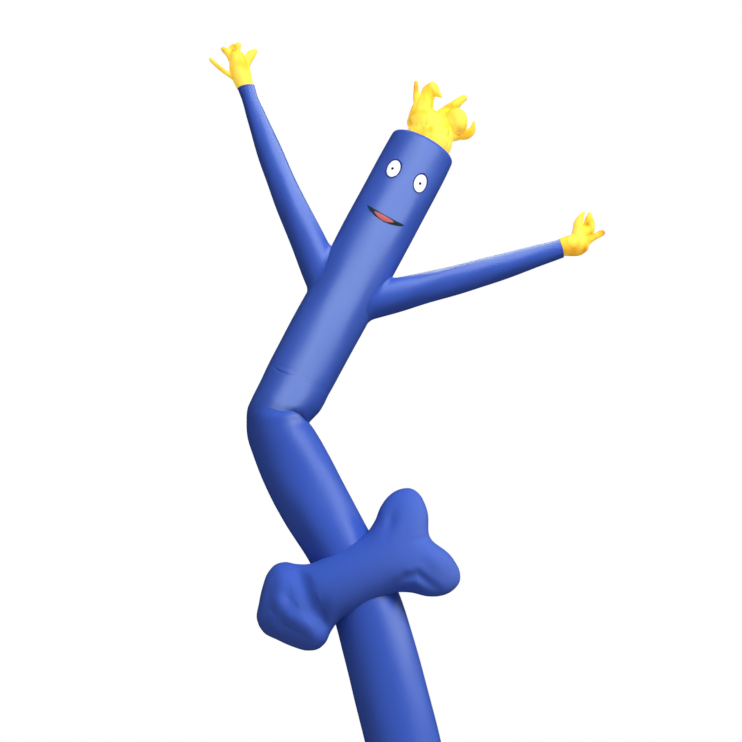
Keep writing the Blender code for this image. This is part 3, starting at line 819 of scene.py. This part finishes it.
def puff_mesh(name, chains, cut_point, cut_normal):
    """The fingers fused into one skin by a voxel remesh, softened, and cut off flat at the seam."""
    form = bmesh.new()
    for chain in chains.values():
        form.from_mesh(welded(grid_mesh(name, finger(chain))))
    bmesh.ops.recalc_face_normals(form, faces=form.faces)
    rough = bpy.data.meshes.new(name)
    form.to_mesh(rough)
    form.free()
    lump = bpy.data.objects.new(name, rough)
    bpy.context.scene.collection.objects.link(lump)
    fuse = lump.modifiers.new("fuse", "REMESH")
    fuse.mode = "VOXEL"
    fuse.voxel_size = PUFF_VOXEL
    soften = lump.modifiers.new("soften", "SMOOTH")
    soften.factor = 0.5
    soften.iterations = PUFF_SMOOTHING
    fused = bpy.data.meshes.new_from_object(lump.evaluated_get(bpy.context.evaluated_depsgraph_get()))
    bpy.data.objects.remove(lump)
    form = bmesh.new()
    form.from_mesh(fused)
    every = list(form.verts) + list(form.edges) + list(form.faces)
    bmesh.ops.bisect_plane(form, geom=every, plane_co=cut_point, plane_no=cut_normal, clear_inner=True)
    bmesh.ops.holes_fill(form, edges=[edge for edge in form.edges if edge.is_boundary])
    form.to_mesh(fused)
    form.free()
    fused.name = name
    return fused


def crumple(mesh, seed, height, hollows=(), painted_light_and_shade=()):
    """Move each point along its normal by soft lumps: the peaks of folded waves that run mostly
    upwards. Hollows are balls of x, z, reach and depth, pressed in from the front, with painted shade
    in them. The troughs are kept as a mark of painted shade, with spots added: bells of x, z, reach and
    amount, painted shade where the amount is positive and painted light where it is negative."""
    count = len(mesh.vertices)
    place = np.zeros(count * 3, np.float32)
    normal = np.zeros(count * 3, np.float32)
    mesh.vertices.foreach_get("co", place)
    mesh.vertices.foreach_get("normal", normal)
    place, normal = place.reshape(-1, 3).astype(float), normal.reshape(-1, 3).astype(float)
    rng = np.random.default_rng(seed)
    fold = np.zeros(count)
    for size, share in ((0.095, 1.0), (0.050, 0.55)):
        wave = np.zeros(count)
        for _ in range(5):
            way = rng.normal(size=3) * (1.0, 1.0, 0.45)
            wave += np.sin(place @ (way / size * 2.2) + rng.uniform(0, 2 * math.pi)) / 2.2
        fold += share * (np.sqrt(wave ** 2 + 0.01) - 0.55)
    # Painted shade in the troughs of the folds.
    painted_shading = np.clip(-fold, 0, 1) * 0.8
    lift = height * fold
    for x, z, reach, depth in hollows:
        gap = np.hypot(place[:, 0] - x, place[:, 2] - z) / reach
        press = np.exp(-gap ** 2) * np.clip(-normal[:, 1], 0, 1)
        place[:, 1] += depth * press
        # Painted shade in each hollow.
        painted_shading = painted_shading + 0.9 * press
    # Spots of painted shade (towards orange) and of painted light (towards lemon).
    for x, z, reach, amount in painted_light_and_shade:
        painted_shading = painted_shading + amount * np.exp(-np.hypot(place[:, 0] - x, place[:, 2] - z) ** 2 / reach ** 2)
    place += normal * lift[:, None]
    mesh.vertices.foreach_set("co", place.astype(np.float32).ravel())
    painted_shading = np.clip(painted_shading, -0.5, 1)
    # The crease mark carries this painted shading to the base colour.
    mesh.attributes.new("crease", "FLOAT", "POINT").data.foreach_set("value", painted_shading.astype(np.float32))
    mesh.shade_smooth()
    mesh.update()
    return mesh


def yellow_nylon(name):
    """Thin yellow nylon with painted light and shade: an emission glow that stands in for daylight
    through it, lemon as painted light where it is tight, orange as painted shade in its folds, brown
    as painted shade in the deepest."""
    material, shader, thread = new_material(name)
    place = thread.node("TexCoord", output="Object")
    painted_shading = thread.node("Attribute", {"attribute_name": "crease"}, output="Fac")
    blotch = thread.node("TexNoise", None, {"Vector": place, "Scale": 12.0, "Detail": 3.0})
    grain = thread.node("TexNoise", None, {"Vector": place, "Scale": 160.0, "Detail": 2.0})
    # Painted shading with a random mottle: low is lemon, painted light; high is orange and brown, painted
    # shade.
    fold = (painted_shading * 0.8 + (blotch - 0.5) * 0.5 + 0.10).clamp()
    stops = [(0.0, opaque(YELLOW_PALE_AND_LIT)), (0.3, opaque(YELLOW)), (0.75, opaque(YELLOW_ORANGE_SHADE)),
             (1.0, opaque(YELLOW_DEEP_SHADE))]
    tie(shader, "Base Color", thread.node("ValToRGB", {"stops": stops}, {"Fac": fold}, output="Color"))
    # Painted glow by emission, standing in for light through the cloth.
    tie(shader, "Emission Color", fold.mixed(opaque(YELLOW_GLOW_PAINTED), opaque(YELLOW_FOLD_GLOW_PAINTED)))
    shader.inputs["Emission Strength"].default_value = 1.0
    tie(shader, "Normal", bumped(blotch * 0.0015 + grain * 0.0002, 0.5))
    shader.inputs["Roughness"].default_value = 0.5
    return material


# Each hollow is also given painted shade.
HAIR_HOLLOWS = ((0.272, 4.930, 0.018, 0.016),)  # x, z, reach, depth
# Spots of painted shade towards orange and of painted light towards lemon.
HAIR_PAINTED_LIGHT_AND_SHADE = (  # x, z, reach, towards orange or lemon
    (-0.058, 5.073, 0.046, 0.08),
    (-0.011, 5.250, 0.036, 0.70),
    (0.194, 5.066, 0.046, 0.40),
    (0.365, 4.976, 0.040, 0.50),
    (0.330, 4.930, 0.036, 0.50),
    (0.081, 5.017, 0.060, -0.40),
    (0.192, 4.858, 0.059, -0.40),
    (0.110, 5.245, 0.020, -0.30),
    (0.129, 5.191, 0.022, 0.30),
    (0.193, 4.962, 0.030, 0.30),
    (0.287, 5.045, 0.040, -0.35),
    (0.042, 5.170, 0.033, 0.20),
    (0.261, 5.114, 0.030, 0.60),
)
head_rim, head_forward = tube_end(UPPER_TUBE)
hair_mesh = puff_mesh("hair_tuft", HAIR, head_rim + head_forward * HAIR_HEIGHT, head_forward)
hair = added("hair_tuft", crumple(hair_mesh, 51, HAIR_CRUMPLE, HAIR_HOLLOWS, HAIR_PAINTED_LIGHT_AND_SHADE),
             yellow_nylon("yellow_nylon_hair"))
sewn(hair, "hair")


# Hands. Yellow nylon gloves with a palm and crooked fingers, sewn to the wrists.
HAND_CRUMPLE = 0.002
LEFT_HAND = {  # x, y, z, radius at each joint of a stuffed chain
    "palm": ((-1.143, 0, 5.240, 0.053), (-1.157, 0, 5.285, 0.058), (-1.172, 0, 5.326, 0.064),
             (-1.189, 0, 5.387, 0.068), (-1.200, 0, 5.435, 0.064), (-1.213, 0, 5.469, 0.055)),
    "long_finger": ((-1.225, -0.005, 5.338, 0.028), (-1.268, -0.012, 5.355, 0.017),
                    (-1.309, -0.020, 5.382, 0.015), (-1.345, -0.025, 5.413, 0.014),
                    (-1.374, -0.028, 5.441, 0.013), (-1.383, -0.030, 5.450, 0.011)),
    "stubby_finger": ((-1.240, 0.004, 5.478, 0.039), (-1.268, 0.004, 5.506, 0.026),
                      (-1.293, 0, 5.525, 0.021), (-1.302, 0, 5.532, 0.017)),
    "short_finger": ((-1.237, 0.012, 5.509, 0.024), (-1.250, 0.016, 5.540, 0.019),
                     (-1.241, 0.014, 5.556, 0.016), (-1.226, 0.006, 5.562, 0.012)),
    "middle_finger": ((-1.205, -0.010, 5.475, 0.031), (-1.205, -0.015, 5.516, 0.021),
                      (-1.202, -0.018, 5.543, 0.020), (-1.199, -0.020, 5.554, 0.018)),
    "right_finger": ((-1.167, 0.010, 5.422, 0.043), (-1.136, 0.016, 5.471, 0.032),
                     (-1.110, 0.022, 5.508, 0.026), (-1.093, 0.025, 5.525, 0.017)),
}
# Spots of painted shade towards orange and of painted light towards lemon.
LEFT_HAND_PAINTED_LIGHT_AND_SHADE = (  # x, z, reach, towards orange or lemon
    (-1.302, 5.513, 0.020, 0.60),
    (-1.226, 5.513, 0.017, 0.80),
    (-1.240, 5.400, 0.050, -0.40),
    (-1.208, 5.268, 0.027, 0.20),
    (-1.175, 5.330, 0.060, -0.50),
)
RIGHT_HAND = {
    "palm": ((0.925, 0, 4.157, 0.057), (0.953, 0, 4.164, 0.061), (0.979, 0, 4.169, 0.066),
             (1.012, 0, 4.175, 0.070), (1.049, 0, 4.181, 0.071)),
    "heel": ((1.007, 0, 4.152, 0.050), (1.055, 0.005, 4.148, 0.041), (1.080, 0.005, 4.160, 0.034)),
    "upper_finger": ((1.052, -0.005, 4.236, 0.051), (1.051, -0.010, 4.281, 0.037),
                     (1.053, -0.014, 4.313, 0.033), (1.066, -0.020, 4.351, 0.022),
                     (1.080, -0.022, 4.377, 0.013), (1.088, -0.022, 4.389, 0.009)),
    "fat_finger": ((1.096, 0.010, 4.240, 0.049), (1.121, 0.020, 4.288, 0.042), (1.130, 0.026, 4.330, 0.037),
                   (1.132, 0.030, 4.367, 0.026), (1.136, 0.030, 4.395, 0.014)),
    "lower_finger": ((1.085, -0.005, 4.199, 0.046), (1.130, -0.012, 4.218, 0.028),
                     (1.173, -0.016, 4.238, 0.022), (1.207, -0.018, 4.254, 0.020)),
}
# Each hollow is also given painted shade.
RIGHT_HAND_HOLLOWS = ((1.108, 4.315, 0.016, 0.010), (1.140, 4.250, 0.014, 0.008))
# Spots of painted shade towards orange and of painted light towards lemon.
RIGHT_HAND_PAINTED_LIGHT_AND_SHADE = (
    (1.001, 4.100, 0.046, 0.70),
    (1.122, 4.238, 0.023, 0.70),
    (1.188, 4.261, 0.023, 0.70),
    (1.117, 4.292, 0.033, 0.15),
    (1.132, 4.345, 0.028, 0.45),
    (1.221, 4.251, 0.023, 0.50),
    (1.024, 4.224, 0.046, -0.30),
    (1.045, 4.299, 0.033, -0.30),
    (1.094, 4.137, 0.026, 0.70),
)


def hand_piece(name, chains, arm_table, seed, hollows, painted_light_and_shade):
    """A hand cut off flat a seam's gap beyond the wrist."""
    wrist, forward = tube_end(arm_table)
    mesh = puff_mesh(name, chains, wrist + forward * SEAM_GAP, forward)
    mesh = crumple(mesh, seed, HAND_CRUMPLE, hollows, painted_light_and_shade)
    piece = added(name, mesh, yellow_nylon("yellow_nylon_" + name))
    return piece


sewn(hand_piece("left_hand", LEFT_HAND, LEFT_ARM, 61, (), LEFT_HAND_PAINTED_LIGHT_AND_SHADE), "hand_left")
sewn(hand_piece("right_hand", RIGHT_HAND, RIGHT_ARM, 71, RIGHT_HAND_HOLLOWS, RIGHT_HAND_PAINTED_LIGHT_AND_SHADE),
     "hand_right")


# Eyes. White oval patches sewn to the upper body with a dark blue edging, and a black dot on each.
# The whites have a painted glow, and the edging widens at the upper right into a painted shadow.
FACE_TURN = 5.6
FACE_LIFT = 0.0012
PATCH_CLOTH = 0.001
EYE_DROP = 0.259
EYE_SPREAD = 26.0
EYE_TURN = 7.0
EYE_HALF_HEIGHT = 0.063
EYE_HALF_WIDTH = 0.049
EYE_CROWN = 0.004
PUPIL_RADIUS = 0.009
PUPIL_DROP = 0.004
PUPIL_SHIFT = -0.004
PUPIL_CROWN = 0.0005
EDGING_RADIUS = 0.0036
WHITE = (0.95, 0.95, 0.96)
# Dark blue of the stitched edging and of the painted shadow at its upper right.
EDGING_AND_SHADOW_BLUE = (0.015, 0.035, 0.300)
DOT_BLACK = (0.010, 0.010, 0.015)


def patch_cloth(name, dye, other, painted_glow_strength=0.0):
    """Plain close weave with a faint mottle between two dyes, and a painted glow of its own dye by
    emission, standing in for light through it from behind.
    """
    material, shader, thread = new_material(name)
    place = thread.node("TexCoord", output="Object")
    blotch = thread.node("TexNoise", None, {"Vector": place, "Scale": 60.0, "Detail": 3.0})
    weave = thread.node("TexNoise", None, {"Vector": place, "Scale": 700.0, "Detail": 1.0})
    tie(shader, "Base Color", blotch.mixed(opaque(dye), opaque(other)))
    tie(shader, "Normal", bumped(weave * 0.0002, 0.5))
    shader.inputs["Roughness"].default_value = 0.6
    # Painted glow: emission of its own dye, standing in for light through the cloth.
    shader.inputs["Emission Color"].default_value = opaque(dye)
    shader.inputs["Emission Strength"].default_value = painted_glow_strength
    return material


def eye_turned(u, drop, side, rise, lift):
    """Points of the upper body at a place on an eye, which is turned a little towards upright."""
    turn = math.radians(EYE_TURN)
    across = side * math.cos(turn) - rise * math.sin(turn)
    up = rise * math.cos(turn) + side * math.sin(turn)
    return upper.point(u + across, upper.length - drop + up, lift)


def oval(u, drop, half_width, half_height, lift, crown, rows, columns):
    """An ellipse of cloth on the upper body: rows up it, each as wide as the ellipse there, its
    middle raised by a crown that falls off with the square of the distance to the edge."""
    turn = np.linspace(0, math.pi, rows)[:, None]
    across = np.linspace(-1, 1, columns)
    side = half_width * np.sin(turn) * across
    rise = -half_height * np.cos(turn) * np.ones_like(across)
    out = 1 - (side / half_width) ** 2 - (rise / half_height) ** 2
    return eye_turned(u, drop, side, rise, lift + crown * out)


def patch(name, points, material, node):
    """A piece of cloth sewn to the skin: rows of points on its underside, thickened outwards."""
    piece = added(name, welded(grid_mesh(name, points, closed=False)), material)
    thicken(piece, PATCH_CLOTH, 1.0)
    sewn(piece, node)


def oval_edging_and_shadow(name, u, drop, half_width, half_height, radius, material, rows=96, sides=10):
    """A bead of close stitches round an ellipse: a small circle carried round it, widest at its
    upper right, where the dark bead is painted shadow beside the eye."""
    turn = np.linspace(0, 2 * math.pi, rows, endpoint=False)[:, None]
    ring = np.linspace(0, 2 * math.pi, sides, endpoint=False)
    # The bead widens at the upper right into a painted shadow beside the eye.
    wide = radius * (1 + 0.9 * np.clip(np.cos(turn - math.radians(35)), 0, 1))
    out = wide * np.cos(ring)
    points = eye_turned(u, drop, (half_width + out) * np.sin(turn), (half_height + out) * np.cos(turn),
                        FACE_LIFT + radius * np.sin(ring) * np.ones_like(turn))
    points = np.concatenate((points, points[:1]))
    return added(name, welded(grid_mesh(name, points)), material)


# The white patches get a painted glow.
white_cloth = patch_cloth("white_patch", WHITE, (0.90, 0.90, 0.93), painted_glow_strength=0.25)
black_cloth = patch_cloth("black_patch", DOT_BLACK, (0.02, 0.02, 0.03))
edging_and_shadow_thread = patch_cloth("edging_and_shadow_thread", EDGING_AND_SHADOW_BLUE, (0.015, 0.03, 0.18))
for side, way in (("left", -1), ("right", 1)):
    eye_u = TUBE_GIRTH_DIAMETER / 2 * math.radians(FACE_TURN + way * EYE_SPREAD)
    white_oval = oval(eye_u, EYE_DROP, EYE_HALF_WIDTH, EYE_HALF_HEIGHT, FACE_LIFT, EYE_CROWN, 40, 20)
    patch(side + "_eye", white_oval, white_cloth, "eye_" + side)
    dot = oval(eye_u + PUPIL_SHIFT, EYE_DROP + PUPIL_DROP, PUPIL_RADIUS, PUPIL_RADIUS,
               FACE_LIFT + EYE_CROWN + PATCH_CLOTH, PUPIL_CROWN, 14, 9)
    patch(side + "_pupil", dot, black_cloth, "pupil_" + side)
    edging = oval_edging_and_shadow(side + "_eye_edging", eye_u, EYE_DROP, EYE_HALF_WIDTH, EYE_HALF_HEIGHT,
                         EDGING_RADIUS, edging_and_shadow_thread)
    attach(edging, "root")


# Mouth. A dark crescent of cloth, with a coral crescent sewn along its lower middle.
MOUTH_DROP = 0.554
MOUTH_HALF_LENGTH = 0.145
MOUTH_HALF_WIDTH = 0.0205
MOUTH_SAG = 0.031
TONGUE_DROP = 0.576
TONGUE_HALF_LENGTH = 0.071
TONGUE_HALF_WIDTH = 0.0165
TONGUE_SAG = 0.011
TONGUE_SHIFT = -0.004
LIP_GREEN = (0.020, 0.060, 0.070)
CORAL = (0.720, 0.180, 0.200)
LIP_CROWN = 0.002


def crescent(u, drop, half_length, half_width, sag, lift, rows=10, columns=60):
    """A lens of cloth round the upper body, pointed at its tips, its middle hanging below them by a
    parabola. Its half width is the sine of its run to the power of 1.5."""
    turn = np.linspace(0, math.pi, columns)
    share = -np.cos(turn)
    across = np.linspace(-1, 1, rows)[:, None]
    rise = half_width * np.sin(turn).clip(0) ** 1.5 * across - sag * (1 - share ** 2)
    out = np.sin(turn) * (1 - across ** 2)
    return upper.point(u + half_length * share * np.ones_like(across), upper.length - drop + rise,
                       lift + LIP_CROWN * out)


mouth_u = TUBE_GIRTH_DIAMETER / 2 * math.radians(FACE_TURN)
mouth = crescent(mouth_u, MOUTH_DROP, MOUTH_HALF_LENGTH, MOUTH_HALF_WIDTH, MOUTH_SAG, FACE_LIFT)
patch("mouth_patch", mouth, patch_cloth("dark_patch", LIP_GREEN, (0.01, 0.03, 0.04)), "mouth")
tongue = crescent(mouth_u + TONGUE_SHIFT, TONGUE_DROP, TONGUE_HALF_LENGTH, TONGUE_HALF_WIDTH, TONGUE_SAG,
                  FACE_LIFT + PATCH_CLOTH + LIP_CROWN)
patch("tongue_patch", tongue, patch_cloth("coral_patch", CORAL, (0.60, 0.13, 0.15)), "tongue")


# Light. A lamp high on the right in front lights all the cloth, and an even glow comes from all
# round. The pale band along each tube is the broad soft reflection of a softbox, one for each limb,
# which only that limb sees.
KEY_AIM = Vector((-0.40, 0.0, 3.30))
KEY_FROM = Vector((0.427, -0.648, 0.631))
KEY_DISTANCE = 25.0
KEY_SIZE = 11.0
KEY_WATTS = 6300
GLOW = (0.96, 0.98, 1.0)
GLOW_STRENGTH = 0.34
SOFTBOX_TINT = (1.0, 1.0, 0.50)
SOFTBOXES = (  # pieces, x and z of their middle, lean, the band's angle, distance, spread, height, radiance
    (("upper_tube", "head_panel", "lower_tube_above_fold"), -0.35, 4.10, -28.0, 11.0, 3.0, 50.0, 1.0, 5.5),
    (("lower_tube",), -0.50, 2.20, 19.0, 37.0, 6.0, 36.0, 0.35, 5.8),
    (("left_arm",), -0.90, 4.60, 23.0, 34.0, 3.0, 46.0, 1.0, 4.8),
    (("right_arm",), 0.40, 3.99, -74.0, -36.0, 3.0, 54.0, 1.0, 4.7),
    (("arrow_puff",), -0.38, 2.06, 20.0, 35.0, 3.0, 40.0, 1.0, 2.4),
)


def lamp(name, aim, direction, distance, size, watts):
    """A round area lamp, that far out in a direction from its aim, and turned to it."""
    light = bpy.data.lights.new(name, "AREA")
    light.shape = "DISK"
    light.size = size
    light.energy = watts
    item = bpy.data.objects.new(name, light)
    item.location = aim + direction.normalized() * distance
    item.rotation_euler = direction.to_track_quat("Z", "Y").to_euler()
    item.visible_camera = False
    bpy.context.scene.collection.objects.link(item)
    return item


def softbox(pieces, aim, direction, distance, spread, height, radiance):
    """A lamp as wide as its spread from its aim, its height a share of that. Some pieces alone see
    it, and only as a reflection."""
    size = 2 * distance * math.tan(math.radians(spread))
    watts = radiance * math.pi * math.pi * size ** 2 * height / 4
    item = lamp("softbox_" + pieces[0], aim, direction, distance, size, watts)
    item.data.shape = "ELLIPSE"
    item.data.size_y = size * height
    item.data.color = SOFTBOX_TINT
    item.visible_diffuse = False
    seen_by = bpy.data.collections.new(item.name)
    for piece in pieces:
        seen_by.objects.link(bpy.data.objects[piece])
    item.light_linking.receiver_collection = seen_by


def mirrored(aim, lean, angle):
    """Where a tube at the aim mirrors the camera to, at that angle from the tube's front."""
    lean, angle = math.radians(lean), math.radians(angle)
    view = (Vector(CAMERA_PLACE) - aim).normalized()
    normal = Vector((math.cos(lean) * math.sin(angle), -math.cos(angle), math.sin(lean) * math.sin(angle)))
    return 2 * view.dot(normal) * normal - view


lamp("key", KEY_AIM, KEY_FROM, KEY_DISTANCE, KEY_SIZE, KEY_WATTS).visible_glossy = False
for pieces, x, z, lean, angle, *rest in SOFTBOXES:
    aim = Vector((x, 0.0, z))
    softbox(pieces, aim, mirrored(aim, lean, angle), *rest)
world = bpy.data.worlds.new("studio")
world.use_nodes = True
world.node_tree.nodes["Background"].inputs["Color"].default_value = opaque(GLOW)
world.node_tree.nodes["Background"].inputs["Strength"].default_value = GLOW_STRENGTH
world.cycles_visibility.glossy = False
bpy.context.scene.world = world
bpy.context.scene.view_settings.view_transform = "Standard"
